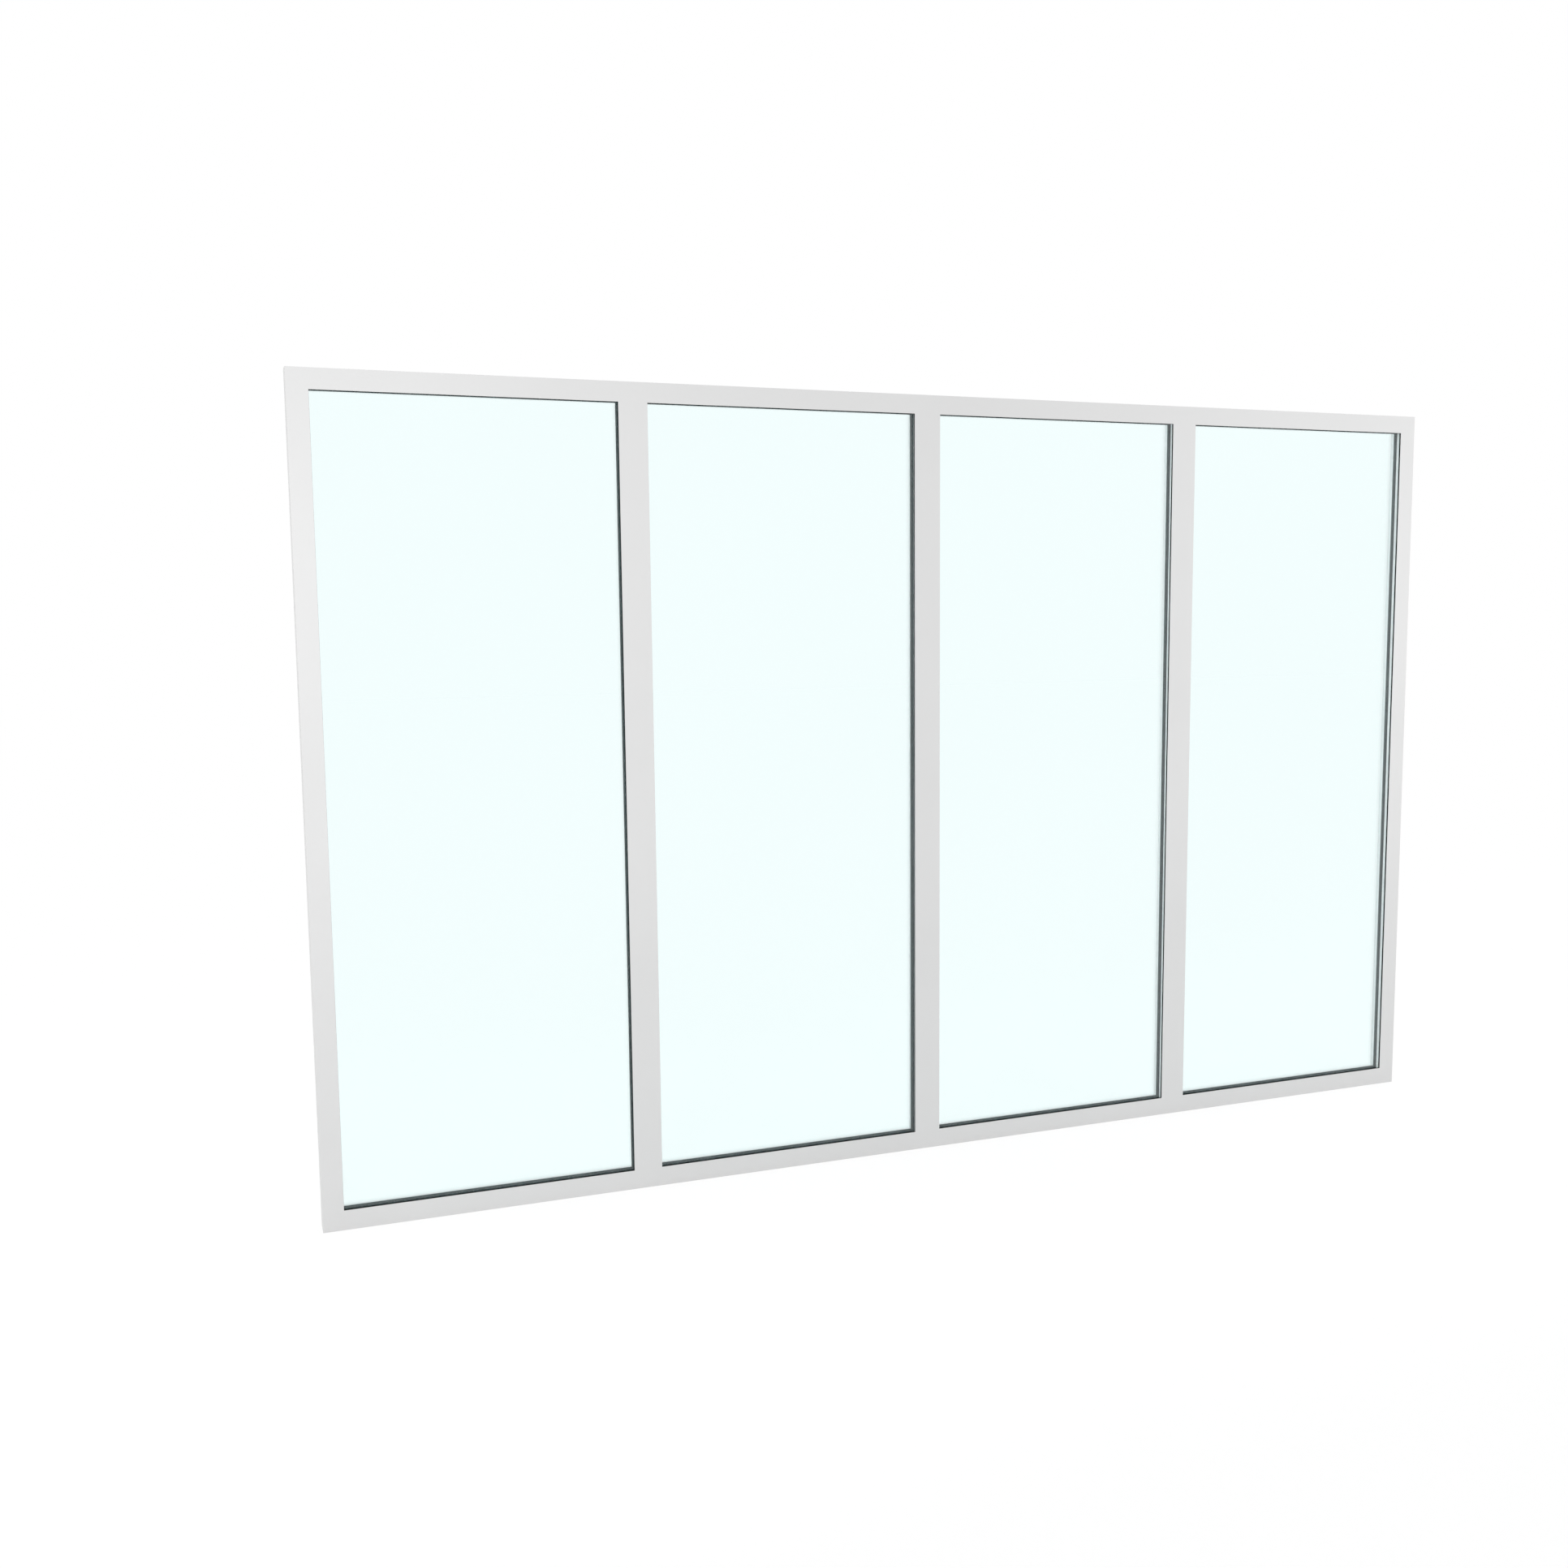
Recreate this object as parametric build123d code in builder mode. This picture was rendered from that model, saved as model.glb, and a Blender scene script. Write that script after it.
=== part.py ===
"""Fixed window of four tall lights: powder-coated aluminium frame, sealed double-glazed units
and snap-in glazing beads on the room side.

Millimetres. X runs along the window, Y from the outside towards the room, Z up. The origin is
the middle of the sill's underside, so the outer face lies at Y = -28.5 and the room face at +28.5.
"""

import os

from build123d import *

# The whole window
WIDTH = 3412.0
HEIGHT = 2200.0
DEPTH = 57.0
LIGHTS = 4

# Sections: a hollow body, with a thin glazing leg in front of each rebate. The leg's nose is
# thinner still, so that the gasket behind it shows
BODY = 28.0
REBATE = 25.0
WALL = 2.0
LEG_WALL = 1.5
NOSE = 0.8
NOSE_WIDTH = 1.6
EDGE_RADIUS = 0.5

# Build-up through the depth, measured from the outer face
GASKET_BACK = 4.6
GLASS_FRONT = 7.0
PANE = 4.0
ARRIS = 0.5
CAVITY = 20.0
BEAD_FRONT = 38.0

# Distances beyond the sight line, which is the edge of the glazing legs
GASKET_PROUD = 0.25
GASKET_WIDTH = 9.0
INNER_GASKET_WIDTH = 11.0
SPACER_NEAR = 8.5
SPACER_FAR = 15.5
SPACER_BEVEL = 2.5
GLASS_EDGE = 20.0

# Gasket groove, shared by the glazing leg and the bead
GROOVE_NEAR = 3.7
GROOVE_FAR = 7.5
RIB = 1.2
LIP = 0.6

# Bead groove in the side of each body
POCKET_START = 43.0
POCKET_END = 51.0
POCKET_LIP = 1.0
POCKET_DEPTH = 5.0
POCKET_SKIN = 1.5

# Bead: its walls, how far its side leans back from the opening, its gasket groove and the two
# feet that snap into the body
BEAD_WALL = 1.5
BEAD_SLOPE = 3.0
BEAD_GROOVE = 2.0
FOOT_WALL = 1.2
FOOT_DEPTH = 3.6
PLAY = 0.2

# Fixing holes through the frame, and the plastic blocks that carry the glass
FIXING_RADIUS = 4.0
JAMB_FIXINGS = 4
FIXING_MARGIN = 150.0
BLOCK_LENGTH = 100.0
BLOCK_WIDTH = 30.0
BLOCK_PLACE = 0.25

FACE = BODY + REBATE
MULLION_FACE = BODY + 2 * REBATE
SIGHT_WIDTH = (WIDTH - 2 * FACE - (LIGHTS - 1) * MULLION_FACE) / LIGHTS
SIGHT_HEIGHT = HEIGHT - 2 * FACE
PITCH = SIGHT_WIDTH + MULLION_FACE
GLASS_BACK = GLASS_FRONT + 2 * PANE + CAVITY
OUTER = -DEPTH / 2


def light_centre(light):
    """X of the middle of a light, counted from 0 at the left."""
    return (light - (LIGHTS - 1) / 2) * PITCH


def strip(across, depth, mode=Mode.ADD):
    """A rectangle in a section sketch, given by its two limits across and its two in depth."""
    with Locations(((across[0] + across[1]) / 2, (depth[0] + depth[1]) / 2)):
        Rectangle(across[1] - across[0], depth[1] - depth[0], mode=mode)


def glazing_leg(sight, inward):
    """The leg in front of a rebate: a thin wall, thinner at its nose, with two hooked ribs that
    hold the gasket."""

    def beyond(distance):
        return sight - inward * distance

    def leg_strip(near, far, depth):
        strip(sorted((beyond(near), beyond(far))), depth)

    leg_strip(0, NOSE_WIDTH, (0, NOSE))
    leg_strip(NOSE_WIDTH, REBATE, (0, LEG_WALL))
    leg_strip(GROOVE_NEAR - RIB, GROOVE_NEAR, (LEG_WALL, GASKET_BACK))
    leg_strip(GROOVE_FAR, GROOVE_FAR + RIB, (LEG_WALL, GASKET_BACK))
    leg_strip(GROOVE_NEAR, GROOVE_NEAR + LIP, (GASKET_BACK - LIP, GASKET_BACK))
    leg_strip(GROOVE_FAR - LIP, GROOVE_FAR, (GASKET_BACK - LIP, GASKET_BACK))


def bead_groove(side, inward):
    """The undercut groove in a body's rebate side, with a skin of metal kept round it."""

    def groove_strip(near, far, depth, mode):
        limits = (side + inward * near, side + inward * far)
        strip(sorted(limits), depth, mode)

    skin = (POCKET_START - POCKET_SKIN, POCKET_END + POCKET_SKIN)
    mouth = (POCKET_START + POCKET_LIP, POCKET_END - POCKET_LIP)
    groove_strip(-POCKET_DEPTH - POCKET_SKIN, -WALL / 2, skin, Mode.ADD)
    groove_strip(-POCKET_DEPTH, -POCKET_SKIN, (POCKET_START, POCKET_END), Mode.SUBTRACT)
    groove_strip(-POCKET_DEPTH, 0, mouth, Mode.SUBTRACT)


def frame_member(place, length, fixings):
    """One mitred side of the outer frame. The section's first axis points at the glass."""
    with BuildPart() as member:
        with BuildSketch(place) as section:
            strip((0, BODY), (0, DEPTH))
            strip((WALL, BODY - WALL), (WALL, DEPTH - WALL), Mode.SUBTRACT)
            glazing_leg(FACE, 1)
            bead_groove(BODY, 1)
            fillet(section.vertices().group_by(Axis.X)[0], EDGE_RADIUS)
        extrude(amount=length)
        split(bisect_by=place.rotated((0, -45, 0)), keep=Keep.TOP)
        split(bisect_by=place.offset(length).rotated((0, -135, 0)), keep=Keep.TOP)
        if fixings:
            with BuildSketch(Plane(place.origin, x_dir=place.z_dir, z_dir=-place.x_dir)):
                with Locations([(distance, DEPTH / 2) for distance in fixings]):
                    Circle(FIXING_RADIUS)
            extrude(amount=-BODY, mode=Mode.SUBTRACT)
    return member.part


def mullion(x):
    """An upright between two lights. Its face ends at the sight lines, and its body runs on
    behind the legs of head and sill to stand between their bodies."""
    half = BODY / 2
    place = Plane((x, OUTER, BODY), x_dir=(1, 0, 0), z_dir=(0, 0, 1))
    with BuildPart() as upright:
        with BuildSketch(place):
            strip((-half, half), (0, DEPTH))
            strip((WALL - half, half - WALL), (WALL, DEPTH - WALL), Mode.SUBTRACT)
            for side in (-1, 1):
                glazing_leg(side * MULLION_FACE / 2, side)
                bead_groove(side * half, side)
        extrude(amount=HEIGHT - 2 * BODY)
        with BuildSketch(place):
            strip((-MULLION_FACE / 2, MULLION_FACE / 2), (0, GASKET_BACK + LIP))
        extrude(amount=REBATE, mode=Mode.SUBTRACT)
        with BuildSketch(place.offset(REBATE + SIGHT_HEIGHT)):
            strip((-MULLION_FACE / 2, MULLION_FACE / 2), (0, GASKET_BACK + LIP))
        extrude(amount=REBATE, mode=Mode.SUBTRACT)
    return upright.part


def bead(place, length):
    """A hollow glazing bead with mitred ends, standing on a body's rebate side. The section's
    first axis points at the glass, from the rebate side. Its side leans back from the opening."""
    mid = (POCKET_START + POCKET_END) / 2
    foot_side = POCKET_END - POCKET_LIP - PLAY - mid
    groove_back = BEAD_FRONT + BEAD_WALL + BEAD_GROOVE
    with BuildPart() as hollow:
        with BuildSketch(place) as section:
            Polygon((0, BEAD_FRONT), (REBATE, BEAD_FRONT), (REBATE - BEAD_SLOPE, DEPTH), (0, DEPTH),
                    align=None)
            offset(amount=-BEAD_WALL, kind=Kind.INTERSECTION, mode=Mode.SUBTRACT)
            strip((REBATE - GROOVE_FAR - RIB, REBATE - BEAD_WALL), (BEAD_FRONT, groove_back + RIB))
            strip((REBATE - GROOVE_FAR, REBATE - GROOVE_NEAR),
                  (BEAD_FRONT + BEAD_WALL, groove_back), Mode.SUBTRACT)
            strip((REBATE - GROOVE_FAR + LIP, REBATE - GROOVE_NEAR - LIP),
                  (BEAD_FRONT, groove_back), Mode.SUBTRACT)
            for side in (-1, 1):
                root = mid + side * foot_side
                barb = root + side * (POCKET_LIP - PLAY)
                strip((-FOOT_DEPTH, 0), sorted((root, root - side * FOOT_WALL)))
                strip((-FOOT_DEPTH, -POCKET_SKIN - PLAY), sorted((root, barb)))
            room_edge = section.vertices().group_by(Axis.Y)[-1].sort_by(Axis.X)[-1]
            fillet(room_edge, EDGE_RADIUS)
        extrude(amount=length)
        split(bisect_by=place.rotated((0, -45, 0)), keep=Keep.TOP)
        split(bisect_by=place.offset(length).rotated((0, -135, 0)), keep=Keep.TOP)
    return hollow.part


def ring(light, near, far, depth):
    """A rectangular ring round one light, between two distances beyond its sight line."""
    with BuildSketch(Plane.XZ.offset(-OUTER - depth[0])) as outline:
        with Locations((light_centre(light), HEIGHT / 2)):
            Rectangle(SIGHT_WIDTH + 2 * far, SIGHT_HEIGHT + 2 * far)
            Rectangle(SIGHT_WIDTH + 2 * near, SIGHT_HEIGHT + 2 * near, mode=Mode.SUBTRACT)
    extrude(outline.sketch, amount=depth[0] - depth[1])


def groove_feet(light, near, far, depth):
    """The part of a gasket that fills its groove, on all four sides, short of the corners."""
    middle = (near + far) / 2
    across = SIGHT_WIDTH / 2 + middle
    up = SIGHT_HEIGHT / 2 + middle
    x, z = light_centre(light), HEIGHT / 2
    with BuildSketch(Plane.XZ.offset(-OUTER - depth[0])) as runs:
        with Locations((x - across, z), (x + across, z)):
            Rectangle(far - near, SIGHT_HEIGHT)
        with Locations((x, z - up), (x, z + up)):
            Rectangle(SIGHT_WIDTH, far - near)
    extrude(runs.sketch, amount=depth[0] - depth[1])


def outer_gasket(light):
    """Black gasket between the glazing leg and the outer pane, slightly proud of the leg."""
    lips = GASKET_BACK - LIP
    with BuildPart() as gasket:
        ring(light, -GASKET_PROUD, GASKET_WIDTH, (GASKET_BACK, GLASS_FRONT))
        ring(light, -GASKET_PROUD, GROOVE_NEAR - RIB - PLAY, (LEG_WALL, GASKET_BACK))
        ring(light, -GASKET_PROUD, NOSE_WIDTH - PLAY, (NOSE, LEG_WALL))
        groove_feet(light, GROOVE_NEAR + LIP, GROOVE_FAR - LIP, (lips, GASKET_BACK))
        groove_feet(light, GROOVE_NEAR + PLAY, GROOVE_FAR - PLAY, (LEG_WALL + PLAY, lips))
    return gasket.part


def inner_gasket(light):
    """Grey gasket between the inner pane and the beads, slightly proud of the beads."""
    lips = BEAD_FRONT + BEAD_WALL
    with BuildPart() as gasket:
        ring(light, -GASKET_PROUD, INNER_GASKET_WIDTH, (GLASS_BACK, BEAD_FRONT))
        groove_feet(light, GROOVE_NEAR + LIP, GROOVE_FAR - LIP, (BEAD_FRONT, lips))
        foot = (lips, lips + BEAD_GROOVE - PLAY)
        groove_feet(light, GROOVE_NEAR + PLAY, GROOVE_FAR - PLAY, foot)
    return gasket.part


def pane(light, front):
    """One sheet of float glass with arrised edges."""
    with BuildPart() as sheet:
        with BuildSketch(Plane.XZ.offset(-OUTER - front)):
            with Locations((light_centre(light), HEIGHT / 2)):
                Rectangle(SIGHT_WIDTH + 2 * GLASS_EDGE, SIGHT_HEIGHT + 2 * GLASS_EDGE)
        extrude(amount=-PANE)
        chamfer(sheet.edges(), ARRIS)
    return sheet.part


def spacer(light):
    """The bar that holds the two panes of a unit apart, with its back edges bevelled."""
    front = GLASS_FRONT + PANE
    with BuildPart() as bar:
        ring(light, SPACER_NEAR, SPACER_FAR, (front, front + CAVITY))
        sides = [bar.faces().sort_by(axis)[end] for axis in (Axis.X, Axis.Z) for end in (0, -1)]
        along_y = bar.edges().filter_by(Axis.Y)
        back_edges = [edge for side in sides for edge in side.edges() if edge not in along_y]
        chamfer(back_edges, SPACER_BEVEL)
    return bar.part


def edge_seals():
    """The sealant that fills each unit's edge behind its spacer and round the bevels."""
    front = GLASS_FRONT + PANE
    with BuildPart() as seals:
        for light in range(LIGHTS):
            ring(light, SPACER_FAR - SPACER_BEVEL, GLASS_EDGE, (front, front + CAVITY))
            add(spacer(light), mode=Mode.SUBTRACT)
    return seals.part


def setting_blocks():
    """Two plastic blocks under each unit, at its quarter points."""
    height = REBATE - GLASS_EDGE
    middle = (GLASS_FRONT + GLASS_BACK) / 2
    reach = SIGHT_WIDTH * (0.5 - BLOCK_PLACE)
    with BuildPart() as blocks:
        with BuildSketch(Plane.XY.offset(BODY)):
            for light in range(LIGHTS):
                x = light_centre(light)
                with Locations((x - reach, OUTER + middle), (x + reach, OUTER + middle)):
                    Rectangle(BLOCK_LENGTH, BLOCK_WIDTH)
        extrude(amount=height)
    return blocks.part


def save(solid, name):
    """Labels a finished piece and writes it under its own name."""
    solid.label = name
    export_step(solid, f"parts/{name}.step")


def save_frame():
    """The four mitred sides. Each place has its first axis towards the glass and its second
    towards the room."""
    left, right = -WIDTH / 2, WIDTH / 2
    jamb_left = Plane((left, OUTER, 0), x_dir=(1, 0, 0), z_dir=(0, 0, 1))
    jamb_right = Plane((right, OUTER, HEIGHT), x_dir=(-1, 0, 0), z_dir=(0, 0, -1))
    head = Plane((left, OUTER, HEIGHT), x_dir=(0, 0, -1), z_dir=(1, 0, 0))
    sill = Plane((right, OUTER, 0), x_dir=(0, 0, 1), z_dir=(-1, 0, 0))
    head_fixings = [WIDTH / 2 + light_centre(light) for light in range(LIGHTS)]
    step = (HEIGHT - 2 * FIXING_MARGIN) / (JAMB_FIXINGS - 1)
    jamb_fixings = [FIXING_MARGIN + number * step for number in range(JAMB_FIXINGS)]
    save(frame_member(jamb_left, HEIGHT, jamb_fixings), "frame_jamb_left")
    save(frame_member(jamb_right, HEIGHT, jamb_fixings), "frame_jamb_right")
    save(frame_member(head, WIDTH, head_fixings), "frame_head")
    save(frame_member(sill, WIDTH, ()), "frame_sill")


def save_beads(light):
    """The four beads of a light, mitred where their rebate sides meet in the corners."""
    half = SIGHT_WIDTH / 2 + REBATE
    left, right = light_centre(light) - half, light_centre(light) + half
    low, high = BODY, HEIGHT - BODY
    top = Plane((left, OUTER, high), x_dir=(0, 0, -1), z_dir=(1, 0, 0))
    bottom = Plane((right, OUTER, low), x_dir=(0, 0, 1), z_dir=(-1, 0, 0))
    rising = Plane((left, OUTER, low), x_dir=(1, 0, 0), z_dir=(0, 0, 1))
    falling = Plane((right, OUTER, high), x_dir=(-1, 0, 0), z_dir=(0, 0, -1))
    number = light + 1
    save(bead(top, 2 * half), f"bead_{number}_top")
    save(bead(bottom, 2 * half), f"bead_{number}_bottom")
    save(bead(rising, high - low), f"bead_{number}_left")
    save(bead(falling, high - low), f"bead_{number}_right")


os.makedirs("parts", exist_ok=True)
save_frame()
for gap in range(LIGHTS - 1):
    save(mullion(light_centre(gap) + PITCH / 2), f"mullion_{gap + 1}")
for index in range(LIGHTS):
    save(pane(index, GLASS_FRONT), f"outer_pane_{index + 1}")
    save(pane(index, GLASS_FRONT + PANE + CAVITY), f"inner_pane_{index + 1}")
    save(spacer(index), f"spacer_{index + 1}")
    save(outer_gasket(index), f"outer_gasket_{index + 1}")
    save(inner_gasket(index), f"inner_gasket_{index + 1}")
    save_beads(index)
save(edge_seals(), "edge_seals")
save(setting_blocks(), "setting_blocks")
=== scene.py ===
"""Looks of the four-light fixed window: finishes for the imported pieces, floor, light and camera.

Metres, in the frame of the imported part: X along the window, Y from the outside towards the room,
Z up, with the origin under the middle of the sill.
"""

import math

import bpy
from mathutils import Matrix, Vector


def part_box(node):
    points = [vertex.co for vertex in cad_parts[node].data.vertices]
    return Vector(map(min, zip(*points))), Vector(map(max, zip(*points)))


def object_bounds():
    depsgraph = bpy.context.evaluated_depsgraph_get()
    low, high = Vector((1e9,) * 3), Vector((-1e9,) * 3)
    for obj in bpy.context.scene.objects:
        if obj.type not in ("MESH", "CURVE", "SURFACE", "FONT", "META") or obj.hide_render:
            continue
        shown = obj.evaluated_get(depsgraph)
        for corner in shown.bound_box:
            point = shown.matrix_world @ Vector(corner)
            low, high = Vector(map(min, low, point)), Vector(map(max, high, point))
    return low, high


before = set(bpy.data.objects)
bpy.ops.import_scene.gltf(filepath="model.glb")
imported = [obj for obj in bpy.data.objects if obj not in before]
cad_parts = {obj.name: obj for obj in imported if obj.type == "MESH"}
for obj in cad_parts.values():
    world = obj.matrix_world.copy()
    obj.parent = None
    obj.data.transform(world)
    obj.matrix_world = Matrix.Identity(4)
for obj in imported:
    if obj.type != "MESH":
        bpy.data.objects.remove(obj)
cad_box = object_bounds()

# Camera, as the photograph was taken
PHOTO_SIDE = 1932
PHOTO_FOCAL_PIXELS = 2107.7
PHOTO_CENTRE = (1138.1, 972.3)
SENSOR = 36.0
CAMERA_PLACE = (-1.9514, -4.5596, 1.6918)
CAMERA_YAW = 23.174
CAMERA_PITCH = 7.094
CAMERA_REACH = 200.0

# Light. The world's strength where it lights and where it is seen, then the lamps: metres, beam
# widths in degrees, watts
WORLD_LEVEL = 0.86
SEEN_LEVEL = 1.0
LAMPS = {
    "front_left": {"place": (-2.0, -1.94, 1.69), "aim": (-2.0, 0, 1.69), "size": (0.6, 0.6),
                   "spread": 180, "power": 10.4},
    "front_right": {"place": (1.84, -1.82, 1.69), "aim": (1.84, 0, 1.69), "size": (0.6, 0.6),
                    "spread": 180, "power": 7.5},
    "room_left": {"place": (-9.0, 4.0, 1.1), "aim": (1.7, 0, 1.1), "size": (0.6, 5.0),
                  "spread": 16, "power": 9.5},
    "room_right": {"place": (9.0, 4.0, 1.1), "aim": (-1.7, 0, 1.1), "size": (0.6, 5.0),
                   "spread": 16, "power": 9.5},
}

# The floor's length, and how much of its seen white is lit, so that it can hold a shadow
FLOOR_SIDE = 40.0
FLOOR_SHADE = 0.25

# How wide the beads show on the room side, and how far the dark line at a joint reaches
BEAD_FACE = 0.025
JOINT_LINE = 0.0003

# Colours. Each pair holds the two tones between which a surface drifts
COAT_TONES = ((0.79, 0.79, 0.79), (0.81, 0.81, 0.81))
JOINT_TONE = (0.12, 0.12, 0.12)
SPACER_TONES = ((0.96, 0.97, 0.97), (0.98, 0.98, 0.98))
SEALANT_TONES = ((0.012, 0.012, 0.012), (0.02, 0.02, 0.02))
OUTER_GASKET_TONES = ((0.006, 0.006, 0.007), (0.010, 0.010, 0.011))
INNER_GASKET_TONES = ((0.031, 0.057, 0.060), (0.038, 0.065, 0.068))
BLOCK_TONES = ((0.03, 0.03, 0.03), (0.04, 0.04, 0.04))
FLOOR_TONES = COAT_TONES
GLASS_TINT = (0.943, 0.9955, 0.9955)
GLASS_STREAK = 0.003

# Gloss. Specular levels, then the lowest and highest roughness of each surface
COAT_SHEEN = 0.15
RUBBER_SHEEN = 0.25
OUTER_GASKET_SHEEN = 0.06
COAT_ROUGHNESS = (0.30, 0.36)
RUBBER_ROUGHNESS = (0.55, 0.70)
SPACER_ROUGHNESS = (0.5, 0.6)
GLASS_ROUGHNESS = (0.0, 0.006)
GLASS_IOR = 1.5

# Patterns, in noise waves a metre: broad drifts of tone, smaller ones of gloss, then the fine
# relief with its depth in metres. Most of a noise's values lie within its middle
COAT_DRIFT, COAT_GLOSS, COAT_PEEL = 2.5, 60.0, 450.0
RUBBER_BLOOM, RUBBER_GLOSS, RUBBER_GRAIN = 35.0, 90.0, 1200.0
SPACER_SPECKLE, SPACER_GLOSS, SPACER_GRAIN = 700.0, 150.0, 900.0
GLASS_STREAKS, GLASS_WAVE = 1.2, 5.0
FLOOR_DRIFT = 0.8
PEEL_DEPTH = 0.00002
GRAIN_DEPTH = 0.00003
NOISE_MIDDLE = (0.3, 0.7)


class Nodes:
    """A material's node tree, with short calls to add and join nodes."""

    def __init__(self, name):
        self.material = bpy.data.materials.new(name)
        self.material.use_nodes = True
        self.tree = self.material.node_tree
        self.tree.nodes.clear()
        self.output = self.tree.nodes.new("ShaderNodeOutputMaterial")

    def add(self, kind, **values):
        node = self.tree.nodes.new("ShaderNode" + kind)
        for name, value in values.items():
            setattr(node, name, value)
        return node

    def link(self, source, target):
        self.tree.links.new(source, target)

    def place(self):
        """Coordinates in metres, in the part's own frame."""
        return self.add("TexCoord").outputs["Object"]

    def noise(self, scale, detail=2.0, roughness=0.5):
        texture = self.add("TexNoise")
        texture.inputs["Scale"].default_value = scale
        texture.inputs["Detail"].default_value = detail
        texture.inputs["Roughness"].default_value = roughness
        self.link(self.place(), texture.inputs["Vector"])
        return texture.outputs["Fac"]

    def remap(self, source, before, after):
        """A value carried from one range to another, and kept inside it."""
        node = self.add("MapRange")
        for name, value in zip(("From Min", "From Max", "To Min", "To Max"), (*before, *after)):
            node.inputs[name].default_value = value
        self.link(source, node.inputs["Value"])
        return node.outputs["Result"]

    def span(self, noise, low, high):
        """Spreads a noise's middle range over two values."""
        return self.remap(noise, NOISE_MIDDLE, (low, high))

    def blend(self, factor, first, second):
        """A colour between two, by a factor socket. The second may be a socket too."""
        mix = self.add("Mix", data_type="RGBA")
        self.link(factor, mix.inputs["Factor"])
        mix.inputs["A"].default_value = (*first, 1)
        if isinstance(second, tuple):
            mix.inputs["B"].default_value = (*second, 1)
        else:
            self.link(second, mix.inputs["B"])
        return mix.outputs["Result"]

    def drift(self, noise, tones):
        """A colour that follows a noise from one tone to another."""
        return self.blend(self.span(noise, 0.0, 1.0), *tones)

    def along(self, axis):
        """Where a point lies along X, Y or Z, in metres."""
        split = self.add("SeparateXYZ")
        self.link(self.place(), split.inputs["Vector"])
        return split.outputs[axis]

    def maths(self, operation, first, second=0.0):
        """Arithmetic on one or two values, each a socket or a number."""
        node = self.add("Math", operation=operation)
        for value, socket in zip((first, second), node.inputs):
            if isinstance(value, float):
                socket.default_value = value
            else:
                self.link(value, socket)
        return node.outputs["Value"]

    def bump(self, height, distance):
        bump = self.add("Bump")
        bump.inputs["Distance"].default_value = distance
        self.link(height, bump.inputs["Height"])
        return bump.outputs["Normal"]

    def finish(self, shader):
        self.link(shader, self.output.inputs["Surface"])
        return self.material


def bead_joints(nodes):
    """How far a bead's surface is from the frame's body, or from its mitre with the next bead."""
    first, middle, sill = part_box("mullion_1"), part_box("mullion_2"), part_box("frame_sill")
    pitch = middle[0][0] - first[0][0]
    from_mullion = nodes.maths("PINGPONG", nodes.along("X"), pitch / 2)
    from_end = nodes.maths("PINGPONG", nodes.along("Z"), cad_box[1][2] / 2)
    across = nodes.maths("SUBTRACT", from_mullion, middle[1][0] - BEAD_FACE)
    up = nodes.maths("SUBTRACT", from_end, sill[1][2] - BEAD_FACE)
    mitre = nodes.maths("ABSOLUTE", nodes.maths("SUBTRACT", across, up))
    return nodes.maths("MINIMUM", nodes.maths("MINIMUM", across, up), mitre)


def powder_coat(name, joints=None):
    """White satin powder coat: fine orange peel, with barely uneven tone and gloss, and a dark
    hairline at the joints, where there are any."""
    nodes = Nodes(name)
    shader = nodes.add("BsdfPrincipled")
    colour = nodes.drift(nodes.noise(COAT_DRIFT, detail=3.0), COAT_TONES)
    if joints:
        colour = nodes.blend(nodes.remap(joints(nodes), (0, JOINT_LINE), (0, 1)), JOINT_TONE, colour)
    nodes.link(colour, shader.inputs["Base Color"])
    nodes.link(nodes.span(nodes.noise(COAT_GLOSS), *COAT_ROUGHNESS), shader.inputs["Roughness"])
    shader.inputs["Specular IOR Level"].default_value = COAT_SHEEN
    nodes.link(nodes.bump(nodes.noise(COAT_PEEL), PEEL_DEPTH), shader.inputs["Normal"])
    return nodes.finish(shader.outputs["BSDF"])


def rubber(name, tones, sheen=RUBBER_SHEEN):
    """Extruded rubber: matt, with a dusty bloom and a fine grain."""
    nodes = Nodes(name)
    shader = nodes.add("BsdfPrincipled")
    colour = nodes.drift(nodes.noise(RUBBER_BLOOM, detail=4.0, roughness=0.6), tones)
    nodes.link(colour, shader.inputs["Base Color"])
    nodes.link(nodes.span(nodes.noise(RUBBER_GLOSS), *RUBBER_ROUGHNESS), shader.inputs["Roughness"])
    shader.inputs["Specular IOR Level"].default_value = sheen
    nodes.link(nodes.bump(nodes.noise(RUBBER_GRAIN), GRAIN_DEPTH), shader.inputs["Normal"])
    return nodes.finish(shader.outputs["BSDF"])


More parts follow.
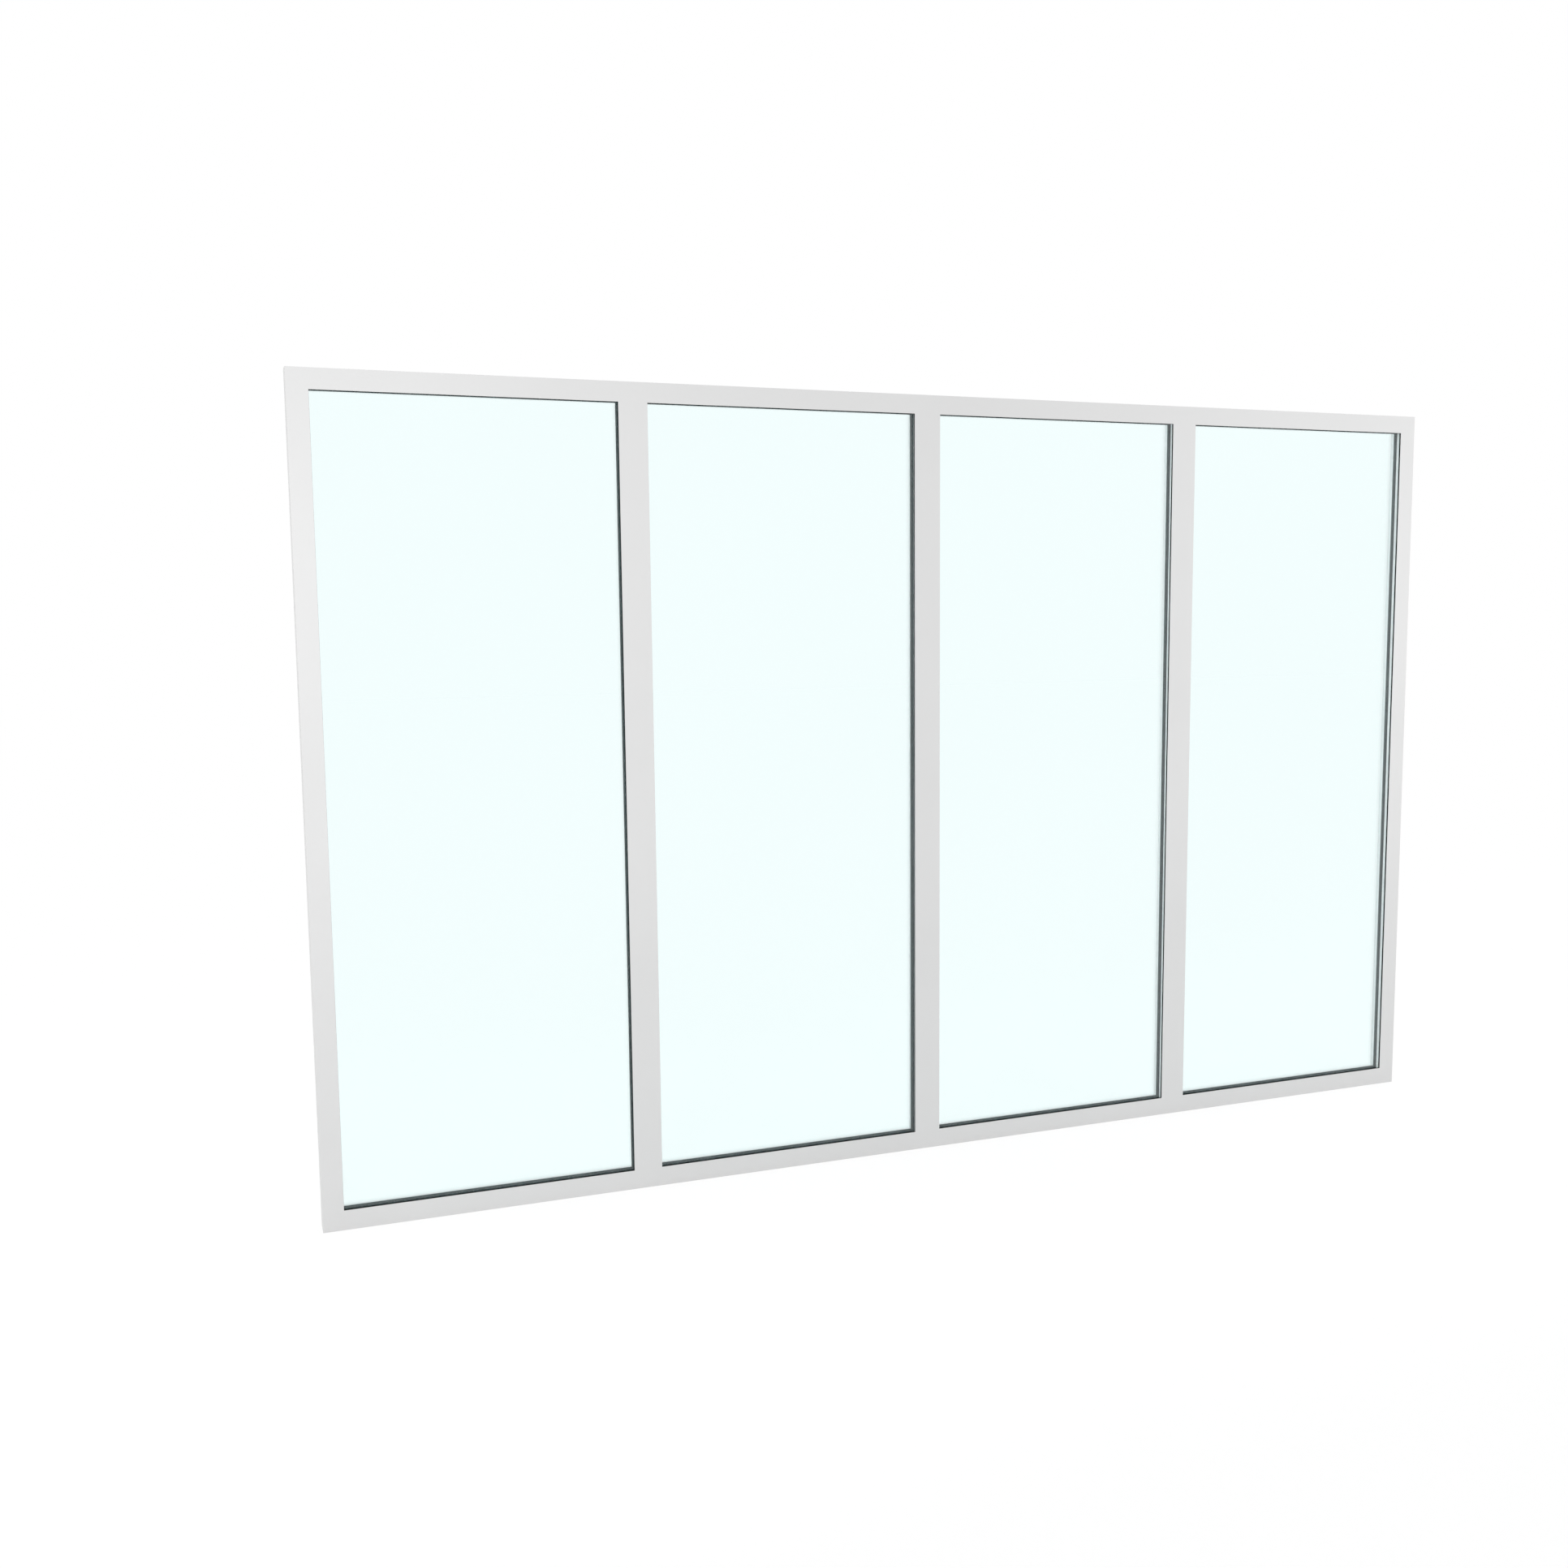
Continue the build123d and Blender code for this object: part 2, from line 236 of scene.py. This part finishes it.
def float_glass(name):
    """A clear pane with a slight tint, even enough that only reflections show its roller wave.
    Lamps and soft light pass it straight, so that what stands behind it is lit."""
    nodes = Nodes(name)
    shader = nodes.add("BsdfPrincipled")
    shader.inputs["Transmission Weight"].default_value = 1.0
    shader.inputs["IOR"].default_value = GLASS_IOR
    nodes.link(nodes.span(nodes.noise(GLASS_WAVE), *GLASS_ROUGHNESS), shader.inputs["Roughness"])
    paler = tuple(min(1.0, part + GLASS_STREAK) for part in GLASS_TINT)
    colour = nodes.drift(nodes.noise(GLASS_STREAKS), (GLASS_TINT, paler))
    nodes.link(colour, shader.inputs["Base Color"])
    straight = nodes.add("BsdfTransparent")
    straight.inputs["Color"].default_value = (*(math.sqrt(part) for part in GLASS_TINT), 1)
    path = nodes.add("LightPath")
    surface = shader.outputs["BSDF"]
    for ray in ("Is Shadow Ray", "Is Diffuse Ray"):
        mix = nodes.add("MixShader")
        nodes.link(path.outputs[ray], mix.inputs["Fac"])
        nodes.link(surface, mix.inputs[1])
        nodes.link(straight.outputs["BSDF"], mix.inputs[2])
        surface = mix.outputs["Shader"]
    return nodes.finish(surface)


def spacer_bar():
    """Pale warm-edge bar, matt, with the fine speckle of its foam and a slight sheen."""
    nodes = Nodes("spacer_pale")
    shader = nodes.add("BsdfPrincipled")
    colour = nodes.drift(nodes.noise(SPACER_SPECKLE), SPACER_TONES)
    nodes.link(colour, shader.inputs["Base Color"])
    nodes.link(nodes.span(nodes.noise(SPACER_GLOSS), *SPACER_ROUGHNESS), shader.inputs["Roughness"])
    nodes.link(nodes.bump(nodes.noise(SPACER_GRAIN), GRAIN_DEPTH), shader.inputs["Normal"])
    return nodes.finish(shader.outputs["BSDF"])


def dress(materials):
    """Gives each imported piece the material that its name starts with."""
    for name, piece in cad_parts.items():
        material = next(m for start, m in materials.items() if name.startswith(start))
        piece.data.materials.clear()
        piece.data.materials.append(material)


def rays_that_see(tree):
    """1 for rays from the camera, from gloss and through glass, as a socket."""
    path = tree.nodes.new("ShaderNodeLightPath")
    total = path.outputs["Is Camera Ray"]
    for name in ("Is Glossy Ray", "Is Transmission Ray"):
        most = tree.nodes.new("ShaderNodeMath")
        most.operation = "MAXIMUM"
        tree.links.new(total, most.inputs[0])
        tree.links.new(path.outputs[name], most.inputs[1])
        total = most.outputs["Value"]
    return total


def studio_world():
    """White where it is seen, and a plain soft level where it lights."""
    world = bpy.data.worlds.new("studio")
    world.use_nodes = True
    tree = world.node_tree
    background = tree.nodes["Background"]
    background.inputs["Color"].default_value = (1, 1, 1, 1)
    strength = tree.nodes.new("ShaderNodeMapRange")
    strength.inputs["To Min"].default_value = WORLD_LEVEL
    strength.inputs["To Max"].default_value = SEEN_LEVEL
    tree.links.new(rays_that_see(tree), strength.inputs["Value"])
    tree.links.new(strength.outputs["Result"], background.inputs["Strength"])
    bpy.context.scene.world = world


def floor_white():
    """Plain and pale where it lights. Where it is seen it fades into the white around it and keeps
    a soft shadow."""
    nodes = Nodes("floor_white")
    pale = nodes.add("BsdfDiffuse")
    nodes.link(nodes.drift(nodes.noise(FLOOR_DRIFT), FLOOR_TONES), pale.inputs["Color"])
    shade = nodes.add("BsdfDiffuse")
    shade.inputs["Color"].default_value = (FLOOR_SHADE, FLOOR_SHADE, FLOOR_SHADE, 1)
    glow = nodes.add("Emission")
    glow.inputs["Strength"].default_value = SEEN_LEVEL - FLOOR_SHADE * WORLD_LEVEL
    seen = nodes.add("AddShader")
    nodes.link(shade.outputs["BSDF"], seen.inputs[0])
    nodes.link(glow.outputs["Emission"], seen.inputs[1])
    both = nodes.add("MixShader")
    nodes.link(rays_that_see(nodes.tree), both.inputs["Fac"])
    nodes.link(pale.outputs["BSDF"], both.inputs[1])
    nodes.link(seen.outputs["Shader"], both.inputs[2])
    return nodes.finish(both.outputs["Shader"])


def studio_floor():
    """A wide flat floor under the sill."""
    mesh = bpy.data.meshes.new("floor")
    half = FLOOR_SIDE / 2
    corners = [(-half, -half, 0), (half, -half, 0), (half, half, 0), (-half, half, 0)]
    mesh.from_pydata(corners, [], [(0, 1, 2, 3)])
    mesh.materials.append(floor_white())
    floor = bpy.data.objects.new("floor", mesh)
    bpy.context.scene.collection.objects.link(floor)


def studio_lamps():
    """Softboxes that light but don't show: two small ones face the window before its jambs, and
    two tall ones with narrow beams graze it from far out on the room side."""
    for name, values in LAMPS.items():
        data = bpy.data.lights.new(name, "AREA")
        data.shape = "RECTANGLE"
        data.size, data.size_y = values["size"]
        data.spread = math.radians(values["spread"])
        data.energy = values["power"]
        lamp = bpy.data.objects.new(name, data)
        lamp.location = values["place"]
        towards = Vector(values["aim"]) - Vector(values["place"])
        lamp.rotation_euler = towards.to_track_quat("-Z", "Y").to_euler()
        lamp.visible_camera = False
        lamp.visible_glossy = False
        lamp.visible_transmission = False
        bpy.context.scene.collection.objects.link(lamp)


def studio_camera():
    """The photograph's own view: its lens, its frame and where it was taken from."""
    data = bpy.data.cameras.new("photo_view")
    data.sensor_width = SENSOR
    data.lens = PHOTO_FOCAL_PIXELS / PHOTO_SIDE * SENSOR
    data.shift_x = (PHOTO_SIDE / 2 - PHOTO_CENTRE[0]) / PHOTO_SIDE
    data.shift_y = (PHOTO_CENTRE[1] - PHOTO_SIDE / 2) / PHOTO_SIDE
    data.clip_end = CAMERA_REACH
    camera = bpy.data.objects.new("photo_view", data)
    camera.location = CAMERA_PLACE
    camera.rotation_euler = (math.radians(90 - CAMERA_PITCH), 0, math.radians(-CAMERA_YAW))
    bpy.context.scene.collection.objects.link(camera)
    bpy.context.scene.camera = camera


frame_coat = powder_coat("frame_powder_coat")
dress({
    "frame_": frame_coat,
    "mullion_": frame_coat,
    "bead_": powder_coat("bead_powder_coat", bead_joints),
    "outer_pane_": float_glass("outer_glass"),
    "inner_pane_": float_glass("inner_glass"),
    "spacer_": spacer_bar(),
    "edge_seals": rubber("edge_sealant", SEALANT_TONES),
    "outer_gasket_": rubber("outer_gasket_rubber", OUTER_GASKET_TONES, OUTER_GASKET_SHEEN),
    "inner_gasket_": rubber("inner_gasket_rubber", INNER_GASKET_TONES),
    "setting_blocks": rubber("block_plastic", BLOCK_TONES),
})
studio_world()
studio_floor()
studio_lamps()
studio_camera()
bpy.context.scene.view_settings.view_transform = "Standard"
